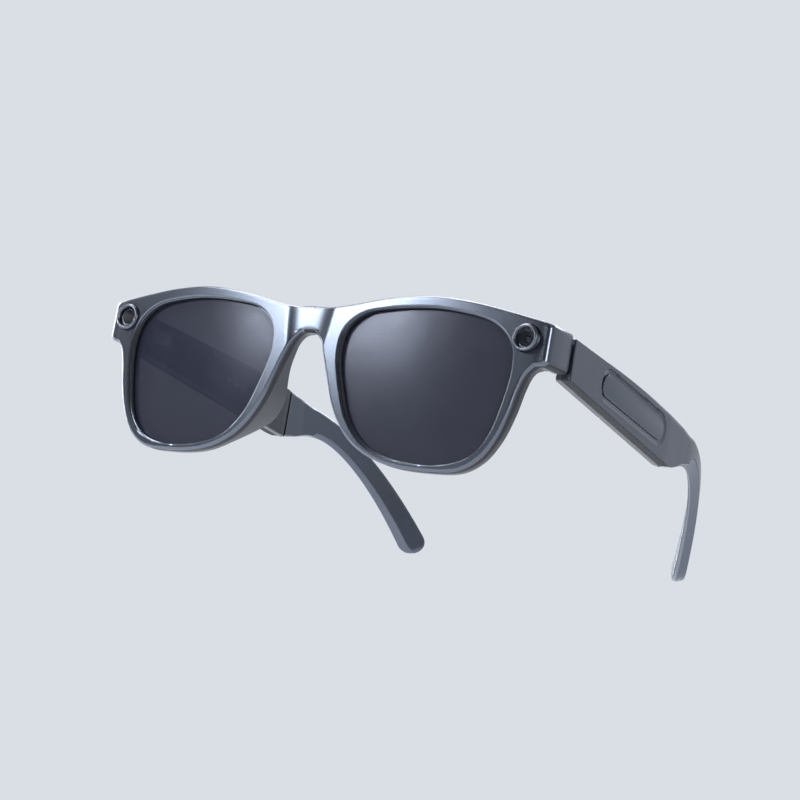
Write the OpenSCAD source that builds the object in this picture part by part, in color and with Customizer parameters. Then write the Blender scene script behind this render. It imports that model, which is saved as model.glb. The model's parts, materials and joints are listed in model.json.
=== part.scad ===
// Smart glasses: a two-shell front with camera and light corners, tinted lenses,
// and two folding temples that hold the electronics. Millimetres, +Z up, front faces -Y.
// Shapes are laid out with the lens plane upright, then tilted so that the rims and
// the ear hooks stand on one level surface.

/* [Front] */
// Half of the width across the hinges
half_w = 72.5; // [70:0.5:76]
// Radius that the front wraps round the face with
wrap_r = 420; // [300:10:600]
// Thickness of the front shell
front_t = 2.8; // [2.6:0.1:3]
// Thickness of the front and rear shells together
rim_t = 5.2; // [5:0.1:5.6]
// Forward lean of the lens plane, in degrees
front_tilt = 2.3; // [2.2:0.1:2.4]
// Thickness of a lens
lens_t = 1.8; // [1.6:0.1:1.8]

/* [Corners] */
// Distance of the camera and light centres from the middle
corner_x = 65.3; // [65:0.1:65.5]
// Height of the camera and light centres over the lens centre line
corner_z = 15.1; // [14.8:0.1:15.4]
// Outer radius of a corner bezel
bezel_r = 3.7; // [3.5:0.1:3.8]
// How far a bezel stands out of the front
bezel_proud = 1.4; // [1:0.1:1.6]

/* [Hinges] */
// Distance of the hinge pin from the middle
hinge_x = 66.4; // [66.3:0.1:66.5]
// Distance of the hinge pin behind the front
hinge_y = 18.1; // [18:0.1:18.2]
// Radius of the hinge barrels
barrel_r = 1.5; // [1.4:0.05:1.55]
// Radius of the hinge pin
pin_r = 0.7; // [0.6:0.05:0.8]
// Running clearance of the pin in the temple barrel
pin_gap = 0.05; // [0.02:0.01:0.1]

/* [Temples] */
// Start of the temples behind the front
temple_y = 18.8; // [18.7:0.1:19]
// Thickness of a temple where it holds the electronics
temple_t = 5.0; // [4.8:0.1:5.2]
// Thickness of an ear hook
hook_t = 3.6; // [3.4:0.1:3.8]
// Inward angle of the temples, in degrees
splay = 2.65; // [2.5:0.05:2.8]
// Fraction of the hook curve that the hook follows
hook_end = 0.885; // [0.86:0.005:0.9]
// Length of the touch pad
pad_len = 43; // [40:1:44]
// Height of the touch pad
pad_h = 6.2; // [5.8:0.1:6.4]

/* [Hidden] */

graphite = "#596273";
slate = "#34373f";
smoke = "#20222a";
dark_metal = "#8a8f99";
board_green = "#1f5a3c";
copper = "#b87844";

mid_y = 75.36;         // half of the depth, which puts the origin in the middle
lift = 22.31;          // height of the lens centre line over the surface
pin_fn = 48;
wrap_fn = 180;
lens_gap = 0.05;       // fit of a lens in its groove
lens_lip = 0.9;        // how far the groove reaches round the lens opening
lens_y = 2.2;          // depth of the lens front behind the front surface
end_back = 17.7;       // rear face of the endpieces
end_low = 8.6;         // underside of the endpieces
end_high = 19.4;       // top of the endpieces
heel_y = 90;           // rear end of the temple covers
hook_y = 98;           // start of the ear hooks
cover_t = 2.1;         // thickness of a temple cover
slope = 6.4;           // downward angle of the middle line of the temples
knuckle_low = 9.6;     // lowest point of the hinge barrels
knuckle_h = 7.6;       // height of the three barrels together
leaf_low = 11.55;      // lowest point of the temple barrel
leaf_h = 3.7;          // height of the temple barrel
leaf_t = 1.4;          // thickness of a front hinge leaf
leaf_front = 12.6;     // front end of a front hinge leaf
hinge_screw_z = [11, 15.8];   // heights of the screws that hold a front hinge leaf
leaf_screw_y = [22.6, 25.6];  // depths of the screws that hold a temple hinge leaf
tip_swell = 0.9;       // growth of a hook's thickness towards its tip
relief_gap = 0.35;     // room round the barrels in a temple
screw_r = 0.5;         // radius of a hinge screw's shank
screw_head_r = 0.9;    // radius of a screw's head
// Depth of the front surface at the corners
corner_y = wrap_r - sqrt(wrap_r * wrap_r - corner_x * corner_x);
bezel_wall = 0.95;     // thickness of a bezel round its window
bezel_h = 3.4;         // depth of a bezel, front to back
window_t = 0.8;        // thickness of a corner window
window_set = 0.4;      // how far a window sits behind its bezel's front edge
insert_y = 5;          // front of the camera barrel and of the light reflector
insert_r = 2.3;        // their radius
insert_h = 3.6;        // their depth, front to back
board_y = insert_y + insert_h;   // front of the small boards behind them
board_side = 5.4;      // width and height of those boards
boss_back = 13;        // rear face of the bosses behind the corners
boss_in = 61.6;        // inner side of the bosses
side_t = 2.2;          // thickness of the front shell's side walls
side_front = 6;        // depth where the side walls start
mic_at = [-1.6, 1.5, 14.4];   // lowest front corner of the microphone
mic_size = [3.2, 1.2, 2.3];   // its width, depth and height
port_r = 0.35;         // radius of the microphone's sound port
port_z = 15.5;         // height of that port
flex_front = 2.4;      // front of the flex cable behind the front surface
flex_back = 2.7;       // back of the flex cable
flex_half = 0.4;       // half of the flex cable's height
temple_z = 12.9;       // height of the middle line of the temples where they start
pad_y = 20.5;          // front end of the touch pad, along the temple
pad_z = 0.6;           // middle height of the touch pad over the temple's middle line
pad_t = 0.65;          // thickness of the touch pad under the temple's outer face
pad_proud = 0.15;      // how far the touch pad stands out of it
cavity_out = 1.2;      // outer wall left by the hollow of a temple
cavity_in = 4;         // depth of that hollow's inner side
wire_r = 0.7;          // half width of the core wire
cover_screw_r = 0.45;  // radius of a cover screw's shank
cover_screw_at = [[8.6, -3.9], [31, -5.4], [31, 5.4]];   // their places on a temple
speaker_y = 55;        // front end of the speakers, along the temple
grille_len = 11;       // length of a speaker grille
grille_low = -4.4;     // lowest edge of a grille
grille_h = 4.2;        // height of a grille
slots = 7;             // slots in a grille
slot_pitch = 1.4;      // distance from one slot to the next
switch_at = [16, 1.4];        // front and lowest edge of the power switch
switch_size = [1.7, 3, 1.8];  // its depth, length and height
switch_travel = 3.4;   // length that the switch can slide in
button_at = [-2.4, 27];       // middle of the capture button in plan
button_r = 0.9;        // half width of the button
button_half = 2.4;     // half of the straight part of the button
contact_y = [40, 44, 48];     // places of the charging contacts
contact_r = 0.8;       // radius of a contact
sensor_at = [9.6, -2.7];      // front and lowest edge of the sensor window
sensor_size = [6.4, 6];       // its length and height

// Key points of the half outline of the front, in x and z, from the middle of the
// bridge over the brow to the endpiece, and back under it to the nose arch
brow = [[0, 20], [7, 20], [14, 21.2], [24, 23.3], [36, 24.6], [48, 23.9], [60, 21.9], [71.4, 19.6]];
rim = [[68.4, 8], [66.4, 5.6], [65, 1.5], [63.5, -5], [61, -12], [57, -18], [51, -21.6],
    [42, -22.4], [33, -22], [26, -20.3], [19.5, -16.9], [14.6, -12], [11, -6], [8.7, 0],
    [6.6, 5.6], [4.6, 10.1], [2.4, 12.4], [0, 12.9]];
// Key points of a lens opening
opening = [[62.3, 7], [60.6, 14.2], [55, 18.9], [46, 20.9], [36, 21.5], [24, 20.5],
    [16.6, 18.7], [11.8, 14], [11, 6.8], [13.2, -1.5], [17, -10.4], [23.5, -17],
    [33, -20], [44, -20.6], [53, -18], [58.2, -12.2], [61, -3]];
// Control points of the hook's middle line, in x, y and z
hook_ctrl = [[66.5, 98, 5], [65.8, 116.3, 7.4], [58, 134.7, -2.9], [45, 153, -34]];

// ---- curves ----
function spline_at(a, b, c, d, t) = 0.5 * (2 * b + (c - a) * t
    + (2 * a - 5 * b + 4 * c - d) * t * t + (3 * b - 3 * c + d - a) * t * t * t);
function closed_spline(p, steps) = let (n = len(p)) [for (i = [0:n - 1]) for (k = [0:steps - 1])
    spline_at(p[(i + n - 1) % n], p[i], p[(i + 1) % n], p[(i + 2) % n], k / steps)];
function open_spline(p, steps) = let (n = len(p)) [for (i = [0:n - 2]) for (k = [0:steps])
    if (k < steps || i == n - 2)
        spline_at(p[max(i - 1, 0)], p[i], p[i + 1], p[min(i + 2, n - 1)], k / steps)];
function mirrored(p) = [for (i = [len(p) - 1:-1:0]) [-p[i][0], p[i][1]]];
function bezier(c, u) = pow(1 - u, 3) * c[0] + 3 * u * pow(1 - u, 2) * c[1]
    + 3 * u * u * (1 - u) * c[2] + pow(u, 3) * c[3];
function hook_at(u) = bezier(hook_ctrl, u);
function hook_half(u) = 3.7 + 1.9 * pow(max(1 - u / 0.4, 0), 2) + 0.35 * pow(max(u - 0.5, 0) / 0.4, 2);
function hook_dir(u) = let (d = hook_at(u + 0.01) - hook_at(u - 0.01), n = norm([d[1], d[2]]))
    [d[1] / n, d[2] / n];
// A point beside the hook's middle line in the side view, k = 1 above it and -1 below it
function hook_side(u, k, h) = let (p = hook_at(u), d = hook_dir(u))
    [p[1] - k * h * d[1], p[2] + k * h * d[0]];
function outer_x(y) = half_w - tan(splay) * (y - temple_y);

// ---- placing ----
module placed() {
    translate([0, -mid_y, lift]) rotate([front_tilt, 0, 0]) children();
}

module other_side() {
    mirror([1, 0, 0]) children();
}

// Local frame of the left temple: x = 0 on its outer face, y along it, z across its height
module in_temple() {
    translate([half_w, temple_y, temple_z]) rotate([-slope, 0, splay]) children();
}

module from_front(depth) {
    translate([0, depth, 0]) rotate([90, 0, 0]) linear_extrude(depth + 3) children();
}

// Curved slab between two depths behind the front surface
module wrap_slab(near, far) {
    translate([0, wrap_r, -40]) difference() {
        cylinder(r = wrap_r - near, h = 80, $fn = wrap_fn);
        translate([0, 0, -1]) cylinder(r = wrap_r - far, h = 82, $fn = wrap_fn);
    }
}

module curved_plate(near, far) {
    intersection() {
        wrap_slab(near, far);
        from_front(14) children();
    }
}

// ---- outlines ----
module front_outline() {
    half = concat(open_spline(brow, 4), [[72, 19.1], [72, 9.2], [71.4, 8.6]], open_spline(rim, 3));
    polygon(concat(half, mirrored([for (i = [1:len(half) - 2]) half[i]])));
}

module opening_outline(grow = 0) {
    c = [36, 1];
    polygon([for (q = closed_spline(opening, 4)) q + grow * (q - c) / norm(q - c)]);
}

module both_openings(grow = 0) {
    opening_outline(grow);
    mirror([1, 0]) opening_outline(grow);
}

// ---- front ----
module corner_hole(r) {
    for (s = [-1, 1]) translate([s * corner_x, -2, corner_z]) rotate([-90, 0, 0])
        cylinder(r = r, h = 11, $fn = pin_fn);
}

// Room for a camera or light behind its bezel
module corner_pocket() {
    side = board_side + 0.6;
    for (s = [-1, 1]) translate([s * corner_x - side / 2, side_front, corner_z - side / 2])
        cube([side, 6.2, side]);
}

module flex_path() {
    half = open_spline([[0, 17.6], [8, 18.4], [17, 20.8], [26, 22.5], [36, 23.4], [46, 22.9],
        [55, 21.3], [62.5, 17.6]], 3);
    line = concat(mirrored([for (i = [1:len(half) - 1]) half[i]]), half);
    polygon(concat([for (q = line) q + [0, flex_half]],
        [for (i = [len(line) - 1:-1:0]) line[i] - [0, flex_half]]));
}

module microphone_box(gap) {
    translate(mic_at - [gap, gap, gap]) cube(mic_size + [2 * gap, gap, 2 * gap]);
}

module front_shell_body() {
    difference() {
        union() {
            curved_plate(0, front_t) front_outline();
            for (s = [0, 1]) mirror([s, 0, 0]) translate([half_w - 0.5 - side_t, side_front, end_low])
                cube([side_t, end_back - side_front, end_high - end_low]);
        }
        from_front(14) both_openings();
        curved_plate(lens_y, front_t + 1) both_openings(lens_lip);
        corner_hole(bezel_r);
        curved_plate(flex_front - 0.1, front_t + 1) flex_path();
        microphone_box(0.05);
        translate([0, 2, port_z]) rotate([90, 0, 0]) cylinder(r = port_r, h = 4, $fn = 24);
    }
}

module nose_pad() {
    intersection() {
        from_front(13.4) polygon(open_spline([[8.3, 6], [9.6, 0.6], [11.6, -5], [14.4, -10.4],
            [16.4, -8.6], [14.4, -3], [13, 3], [11.4, 7.4], [9.4, 8.4]], 2));
        translate([0, 4.4, -20]) linear_extrude(40)
            polygon([[7.6, 4.4], [8.6, 4.8], [11, 3.6], [18, 1], [18, 0], [9.5, 0], [7.9, 2.4]]);
    }
}

module rear_shell_body() {
    inner_side = half_w - 0.5 - side_t;
    difference() {
        union() {
            curved_plate(front_t, rim_t) intersection() {
                front_outline();
                translate([-inner_side, -30]) square([2 * inner_side, 60]);
            }
            for (s = [0, 1]) mirror([s, 0, 0]) {
                difference() {
                    translate([boss_in, side_front, end_low])
                        cube([inner_side - boss_in, boss_back - side_front, end_high - end_low - 0.4]);
                    wrap_slab(-9, front_t);
                }
                translate([66.2, 12, end_low])
                    cube([inner_side - 66.2, end_back - 12, end_high - end_low]);
                nose_pad();
            }
        }
        from_front(14) both_openings();
        curved_plate(front_t - 1, lens_y + lens_t) both_openings(lens_lip);
        corner_hole(bezel_r);
        corner_pocket();
        for (s = [0, 1]) mirror([s, 0, 0]) {
            translate([hinge_x, hinge_y, 0]) cylinder(r = barrel_r + 0.3, h = 30, $fn = pin_fn);
            front_leaf_plate();
            for (z = hinge_screw_z) hinge_screw_at(z);
        }
        microphone_box(0.05);
    }
}

module front_shell() color(graphite) placed() front_shell_body();

module rear_shell() color(slate) placed() rear_shell_body();

module lens_body() {
    curved_plate(lens_y, lens_y + lens_t) opening_outline(lens_lip - lens_gap);
}

module left_lens() color(smoke, 0.8) placed() lens_body();

module right_lens() color(smoke, 0.8) placed() other_side() lens_body();

// ---- camera and light ----
module at_corner(depth) {
    translate([corner_x, depth, corner_z]) rotate([-90, 0, 0]) children();
}

module bezel_body() {
    at_corner(corner_y - bezel_proud) difference() {
        cylinder(r = bezel_r, h = bezel_h, $fn = 64);
        translate([0, 0, -1]) cylinder(r = bezel_r - bezel_wall, h = 1 + window_set + window_t, $fn = 64);
        translate([0, 0, 1]) cylinder(r = insert_r + 0.1, h = bezel_h, $fn = 64);
    }
}

module window_body() {
    at_corner(corner_y - bezel_proud + window_set)
        cylinder(r = bezel_r - bezel_wall, h = window_t, $fn = 64);
}

module camera_bezel() color(dark_metal) placed() bezel_body();

module camera_window() color(smoke, 0.6) placed() window_body();

module camera_barrel() color("#15161a") placed() at_corner(insert_y) difference() {
    cylinder(r = insert_r, h = insert_h, $fn = 48);
    translate([0, 0, -1]) cylinder(r = 1.1, h = 3.2, $fn = 48);
}

module corner_board(thick) {
    translate([corner_x - board_side / 2, board_y, corner_z - board_side / 2])
        cube([board_side, thick, board_side]);
}

module camera_sensor() color(board_green) placed() corner_board(1.4);

module light_bezel() color(dark_metal) placed() other_side() bezel_body();

module light_window() color("white", 0.5) placed() other_side() window_body();

module light_reflector() color("silver") placed() other_side() at_corner(insert_y) difference() {
    cylinder(r = insert_r, h = insert_h, $fn = 48);
    translate([0, 0, -0.01]) cylinder(r1 = 2, r2 = 0.8, h = 2.6, $fn = 48);
}

module light_board() color(board_green) placed() other_side() corner_board(1.2);

module brow_flex_cable() color(copper) placed() curved_plate(flex_front, flex_back) flex_path();

module bridge_microphone() color("#9a9a90") placed() microphone_box(0);

// ---- hinges ----
module front_leaf_plate() {
    translate([hinge_x - 1, leaf_front, knuckle_low]) cube([leaf_t, hinge_y - leaf_front, knuckle_h]);
}

module front_hinge_body() {
    difference() {
        union() {
            translate([hinge_x, hinge_y, knuckle_low]) cylinder(r = barrel_r, h = knuckle_h, $fn = pin_fn);
            front_leaf_plate();
        }
        translate([hinge_x - 3, hinge_y - barrel_r - 0.3, leaf_low - 0.1])
            cube([6, 6, leaf_h + 0.2]);
        translate([hinge_x, hinge_y, 0]) cylinder(r = pin_r, h = 30, $fn = pin_fn);
        for (z = hinge_screw_z) hinge_screw_at(z);
    }
}

module hinge_screw_at(z) {
    translate([hinge_x - 1.4, 14.4, z]) rotate([0, 90, 0]) {
        cylinder(r = screw_head_r, h = 0.4, $fn = 32);
        cylinder(r = screw_r, h = 3.4, $fn = 32);
    }
}

module pin_body() {
    translate([hinge_x, hinge_y, knuckle_low]) {
        cylinder(r = pin_r, h = knuckle_h, $fn = pin_fn);
        translate([0, 0, knuckle_h]) cylinder(r = 1.15, h = 0.45, $fn = pin_fn);
    }
}

module left_front_hinge() color(dark_metal) placed() front_hinge_body();

module right_front_hinge() color(dark_metal) placed() other_side() front_hinge_body();

module left_hinge_pin() color("silver") placed() pin_body();

module right_hinge_pin() color("silver") placed() other_side() pin_body();

module front_hinge_screws() color("silver") placed() for (s = [0, 1]) mirror([s, 0, 0])
    for (z = hinge_screw_z) hinge_screw_at(z);

module temple_leaf(gap = 0) {
    translate([hinge_x - 0.2 - gap, hinge_y, leaf_low - gap])
        cube([1.5 + 2 * gap, 9.6 + gap, leaf_h + 2 * gap]);
}

module temple_hinge_body() {
    difference() {
        union() {
            translate([hinge_x, hinge_y, leaf_low]) cylinder(r = barrel_r, h = leaf_h, $fn = pin_fn);
            temple_leaf();
        }
        translate([hinge_x, hinge_y, 0]) cylinder(r = pin_r + pin_gap, h = 30, $fn = pin_fn);
        for (y = leaf_screw_y) temple_screw_at(y);
    }
}

module temple_screw_at(y) {
    translate([hinge_x + 0.2, y, leaf_low + leaf_h / 2]) rotate([0, 90, 0])
        cylinder(r = screw_r, h = 3, $fn = 32);
}

// ---- temples ----
module side_outline() {
    n = 16;
    us = [for (i = [0:n]) hook_end * i / n];
    tip = hook_side(hook_end, 0, 0);
    turn = atan2(hook_dir(hook_end)[1], hook_dir(hook_end)[0]);
    polygon(concat(
        [[heel_y, -2.2], [heel_y - 3, -2], [temple_y, 7.2], [temple_y, 18.5],
            [34, 17.4], [52, 16.2], [70, 14.7], [88, 12.6], [97, 11.35], [103.5, 10]],
        [for (i = [3:n]) hook_side(us[i], 1, hook_half(us[i]))],
        [for (a = [75:-15:-75]) tip + hook_half(hook_end) * [cos(turn + a), sin(turn + a)]],
        [for (i = [n:-1:0]) hook_side(us[i], -1, hook_half(us[i]))]));
}

// Plan of a band of the temple that lies between two depths behind its outer face,
// given for the electronics part, near and far, and for the hook, as shares of it
module plan_band(near, far, hook_near, hook_far, last) {
    n = 12;
    us = [for (i = [0:n]) (hook_end + 0.12) * i / n];
    function hook_pt(u, w) = let (p = hook_at(u), t = hook_t * (1 + tip_swell * max(u - 0.55, 0)))
        [p[0] + t * (0.5 - w), p[1]];
    x_near = near / cos(splay);
    x_far = far / cos(splay);
    body_near = [[outer_x(temple_y) - x_near, temple_y], [outer_x(80) - x_near, 80]];
    body_far = [[outer_x(80) - x_far, 80], [outer_x(temple_y) - x_far, temple_y]];
    if (last) polygon(concat(body_near, [[outer_x(heel_y) - x_near, heel_y],
        [outer_x(heel_y) - x_far + 0.5, heel_y]], body_far));
    else polygon(concat(body_near, [for (u = us) hook_pt(u, hook_near)],
        [for (i = [n:-1:0]) hook_pt(us[i], hook_far)],
        [[outer_x(heel_y) - temple_t + 0.5, heel_y + 0.1], [outer_x(heel_y) - x_far, heel_y + 0.1]],
        body_far));
}

module side_slab() {
    translate([30, 0, 0]) rotate([90, 0, 90]) linear_extrude(50) side_outline();
}

module temple_cavity() {
    in_temple() {
        translate([-cavity_in, 12, -4.2]) cube([cavity_in - cavity_out, 20, 8.2]);
        translate([-cavity_in, 32, -4.8]) cube([cavity_in - cavity_out, 36, 9.4]);
    }
}

module hinge_relief() {
    translate([hinge_x, hinge_y, -5]) cylinder(r = barrel_r + relief_gap, h = 40, $fn = pin_fn);
    // The barrels also pass the temple's inner edge
    translate([hinge_x - 3, hinge_y, -5]) cube([4.4, barrel_r + relief_gap, 40]);
    temple_leaf(0.1);
    for (y = leaf_screw_y) temple_screw_at(y);
}

module core_wire_body() {
    u0 = 0.02;
    u1 = 0.8;
    n = 14;
    us = [for (i = [0:n]) u0 + (u1 - u0) * i / n];
    intersection() {
        translate([30, 0, 0]) rotate([90, 0, 90]) linear_extrude(50)
            polygon(concat([for (u = us) hook_side(u, 1, wire_r)],
                [for (i = [n:-1:0]) hook_side(us[i], -1, wire_r)]));
        translate([0, 0, -50]) linear_extrude(100)
            polygon(concat([for (u = us) [hook_at(u)[0] + wire_r, hook_at(u)[1]]],
                [for (i = [n:-1:0]) [hook_at(us[i])[0] - wire_r, hook_at(us[i])[1]]]));
    }
}

module cover_screws_body(above = 0) {
    for (q = cover_screw_at) in_temple() translate([-temple_t, q[0], q[1]]) rotate([0, 90, 0]) {
        translate([0, 0, -above]) cylinder(r = screw_head_r, h = 0.5 + above, $fn = 32);
        cylinder(r = cover_screw_r, h = 3.6, $fn = 32);
    }
}

module temple_shell_body() {
    difference() {
        intersection() {
            side_slab();
            translate([0, 0, -50]) linear_extrude(100)
                plan_band(0, temple_t - cover_t, 0, 1, false);
        }
        temple_cavity();
        hinge_relief();
        core_wire_body();
        cover_screws_body();
    }
}

module temple_cover_body() {
    difference() {
        intersection() {
            side_slab();
            translate([0, 0, -50]) linear_extrude(100)
                plan_band(temple_t - cover_t, temple_t, 0, 0, true);
        }
        temple_cavity();
        hinge_relief();
        cover_screws_body(0.2);
        speaker_at(0.05);
    }
}

// The speaker fires down and inwards through a slot of the cover
module speaker_at(gap) {
    in_temple() translate([-temple_t - 0.5, speaker_y - gap, grille_low - gap])
        cube([2, grille_len + 2 * gap, grille_h + 2 * gap]);
}

module grille_body() {
    in_temple() difference() {
        translate([-temple_t + 0.1, speaker_y, grille_low]) cube([0.7, grille_len, grille_h]);
        for (i = [0:slots - 1])
            translate([-temple_t - 1, speaker_y + 1.1 + i * slot_pitch, grille_low + 0.6])
                cube([3, slot_pitch / 2, grille_h - 1.2]);
    }
}

module speaker_body() {
    in_temple() translate([-cavity_in + 0.1, speaker_y, -4.6]) cube([2.4, 12, 7.6]);
}

// ---- left temple pieces ----
module pad_stadium(h, grow) {
    in_temple() translate([0, pad_y, pad_z]) rotate([0, -90, 0]) linear_extrude(h, center = true) {
        translate([0, pad_h / 2]) circle(r = pad_h / 2 + grow, $fn = 48);
        translate([-pad_h / 2 - grow, pad_h / 2]) square([pad_h + 2 * grow, pad_len - pad_h]);
        translate([0, pad_len - pad_h / 2]) circle(r = pad_h / 2 + grow, $fn = 48);
    }
}

module left_temple_shell() color(graphite) placed() difference() {
    temple_shell_body();
    pad_stadium(2 * pad_t + 0.1, 0.15);
}

module left_temple_cover() color(slate) placed() difference() {
    temple_cover_body();
    switch_slot(0.1);
}

module left_temple_hinge() color(dark_metal) placed() temple_hinge_body();

module left_hinge_screws() color("silver") placed() for (y = leaf_screw_y) temple_screw_at(y);

module left_core_wire() color("silver") placed() core_wire_body();

module touch_pad() color(graphite) placed() intersection() {
    pad_stadium(2 * pad_t, 0);
    in_temple() translate([-pad_t, 0, -15]) cube([pad_t + pad_proud, 90, 30]);
}

module touch_sensor_board() color(board_green) placed() in_temple()
    translate([-1.75, 24, -1.8]) cube([0.5, 30, 4.8]);

module main_board() color(board_green) placed() in_temple() {
    translate([-3.3, 14, -3.9]) cube([0.8, 40, 7.8]);
    translate([-2.5, 20, -2.5]) cube([0.7, 8, 5]);
    translate([-2.5, 34, -3]) cube([0.7, 6, 6]);
}

module left_speaker() color("#2a2a2e") placed() speaker_body();

module left_speaker_grille() color("#4a4d55") placed() grille_body();

module switch_slot(gap) {
    in_temple() translate([-temple_t - 1, switch_at[0] - gap, switch_at[1] - gap])
        cube([2.6, switch_size[1] + switch_travel + 2 * gap, switch_size[2] + 2 * gap]);
}

module power_switch() color("#22242a") placed() in_temple()
    translate([-temple_t - 0.3, switch_at[0], switch_at[1]]) cube(switch_size);

module left_cover_screws() color("silver") placed() cover_screws_body();

// ---- right temple pieces ----
module button_column(grow, low, high) {
    in_temple() translate([button_at[0], button_at[1], low]) linear_extrude(high - low) {
        for (s = [-1, 1]) translate([0, s * button_half]) circle(r = button_r + grow, $fn = 32);
        translate([-button_r - grow, -button_half]) square(2 * [button_r + grow, button_half]);
    }
}

module contact_at(y, len) {
    in_temple() translate([-temple_t - 0.05, y, 0.5]) rotate([0, 90, 0])
        cylinder(r = contact_r, h = len, $fn = 32);
}

module sensor_opening(grow) {
    in_temple() translate([-temple_t - 1, sensor_at[0] - grow, sensor_at[1] - grow])
        cube([1.8, sensor_size[0] + 2 * grow, sensor_size[1] + 2 * grow]);
}

module right_temple_shell() color(graphite) placed() other_side() difference() {
    temple_shell_body();
    button_column(0.1, 3, 12);
}

module right_temple_cover() color(slate) placed() other_side() difference() {
    temple_cover_body();
    sensor_opening(0);
    in_temple() translate([-4.2, 10.6, -1.7]) cube([1.3, 4.4, 4]);
    for (y = contact_y) contact_at(y, 1.6);
    button_column(0.1, 3, 12);
}

module right_temple_hinge() color(dark_metal) placed() other_side() temple_hinge_body();

module right_hinge_screws() color("silver") placed() other_side()
    for (y = leaf_screw_y) temple_screw_at(y);

module right_core_wire() color("silver") placed() other_side() core_wire_body();

module battery() color("#b9bcc2") placed() other_side() in_temple()
    translate([-3.9, 33, -4.4]) cube([2.6, 20, 8.8]);

module battery_cable() color(copper) placed() other_side() in_temple()
    translate([-2.2, 28.5, -3]) cube([0.4, 4.5, 2.4]);

module right_speaker() color("#2a2a2e") placed() other_side() speaker_body();

module right_speaker_grille() color("#4a4d55") placed() other_side() grille_body();

module capture_button() color(dark_metal) placed() other_side() button_column(0, 4.2, 7.1);

module button_switch() color("#15161a") placed() other_side() in_temple()
    translate([-3.5, 25.4, 1.2]) cube([2.2, 3.2, 2.2]);

module wear_sensor_window() color(smoke) placed() other_side() intersection() {
    sensor_opening(-0.05);
    in_temple() translate([-temple_t, 0, -10]) cube([0.8, 30, 20]);
}

module wear_sensor() color(board_green) placed() other_side() in_temple()
    translate([-4.1, 10.7, -1.6]) cube([1.1, 4.2, 3.8]);

module charging_contacts() color("gold") placed() other_side()
    for (y = contact_y) intersection() {
        contact_at(y, 1);
        in_temple() translate([-temple_t, 30, -10]) cube([1, 30, 20]);
    }

module right_cover_screws() color("silver") placed() other_side() cover_screws_body();

front_shell();
rear_shell();
left_lens();
right_lens();
camera_bezel();
camera_window();
camera_barrel();
camera_sensor();
light_bezel();
light_window();
light_reflector();
light_board();
brow_flex_cable();
bridge_microphone();
left_front_hinge();
right_front_hinge();
left_hinge_pin();
right_hinge_pin();
front_hinge_screws();
left_temple_shell();
left_temple_cover();
left_temple_hinge();
left_hinge_screws();
left_core_wire();
touch_pad();
touch_sensor_board();
main_board();
left_speaker();
left_speaker_grille();
power_switch();
left_cover_screws();
right_temple_shell();
right_temple_cover();
right_temple_hinge();
right_hinge_screws();
right_core_wire();
battery();
battery_cable();
right_speaker();
right_speaker_grille();
capture_button();
button_switch();
wear_sensor_window();
wear_sensor();
charging_contacts();
right_cover_screws();
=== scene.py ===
import json
import math

import bmesh
import bpy
import numpy as np
from mathutils import Matrix, Vector


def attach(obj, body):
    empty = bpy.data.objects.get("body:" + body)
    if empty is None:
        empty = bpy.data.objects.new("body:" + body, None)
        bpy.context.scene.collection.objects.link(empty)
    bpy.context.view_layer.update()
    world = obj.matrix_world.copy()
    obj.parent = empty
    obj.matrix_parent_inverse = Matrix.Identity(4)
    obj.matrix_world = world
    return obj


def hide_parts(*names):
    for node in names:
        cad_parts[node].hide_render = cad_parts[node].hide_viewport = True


# Smart glasses: the looks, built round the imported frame. Shapes are laid out in millimetres in the
# upright frame of the design (x right, y back from the front, z up from the lens centre line),
# and placed in the row frame by the hinge joint, whose axis carries the lean of the lens plane.

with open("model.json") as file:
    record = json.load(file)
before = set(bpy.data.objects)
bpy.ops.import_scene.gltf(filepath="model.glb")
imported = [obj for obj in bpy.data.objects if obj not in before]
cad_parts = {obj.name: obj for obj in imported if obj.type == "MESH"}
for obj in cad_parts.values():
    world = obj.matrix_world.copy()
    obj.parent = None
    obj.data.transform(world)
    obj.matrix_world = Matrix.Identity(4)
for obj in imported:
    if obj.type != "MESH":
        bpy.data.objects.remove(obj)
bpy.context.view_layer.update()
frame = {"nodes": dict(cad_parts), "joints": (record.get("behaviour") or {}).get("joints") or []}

# ---- driving dimensions, in millimetres ----
HALF_W = 72.5          # half of the width across the hinges
WRAP_R = 420.0         # radius that the front wraps round the face with
FRONT_T = 2.8          # thickness of the front shell
RIM_T = 5.2            # thickness of both shells
PART_GAP = 0.05        # gap between the shells
END_BACK = 17.7        # rear face of the endpieces
SIDE_IN = 69.8         # inner side of the front shell's side walls
CORNER = (65.3, 15.1)  # centre of a camera or light corner, x and z
HINGE = (66.4, 18.1, 13.4)    # middle of a hinge pin
TEMPLE_Y = 18.8        # start of the temples
TEMPLE_Z = 12.9        # height of their middle line there
TEMPLE_T = 5.0         # thickness of a temple
COVER_T = 2.1          # thickness of a temple cover
HEEL_Y = 90.0          # rear end of the covers
HOOK_T = 3.6           # thickness of an ear hook
HOOK_END = 0.885       # share of the hook curve that the hook follows
HOOK_HALF = 3.7        # half of a hook's width, slimmest
TIP_FROM, TIP_SWELL = 0.55, 0.9    # where a hook starts to thicken to its tip, and how fast
SPLAY = math.radians(2.65)    # how far a temple turns in, and slopes down
SLOPE = math.radians(6.4)
LENS_Y = 2.2           # depth of a lens behind the front surface
LENS_T = 1.8           # thickness of a lens
LENS_LIP = 0.85        # how far a lens reaches into the rims round its opening
PAD_Y, PAD_Z, PAD_LEN, PAD_R = 20.5, 0.6, 43.0, 3.1    # touch pad: start, height, length, radius
BAY = (34, 84)         # the temples are hollow between these depths
CROWN = 0.001          # curve of the front from brow to lower rim
EYE = (36.0, 1.0)      # middle of a lens opening

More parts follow.
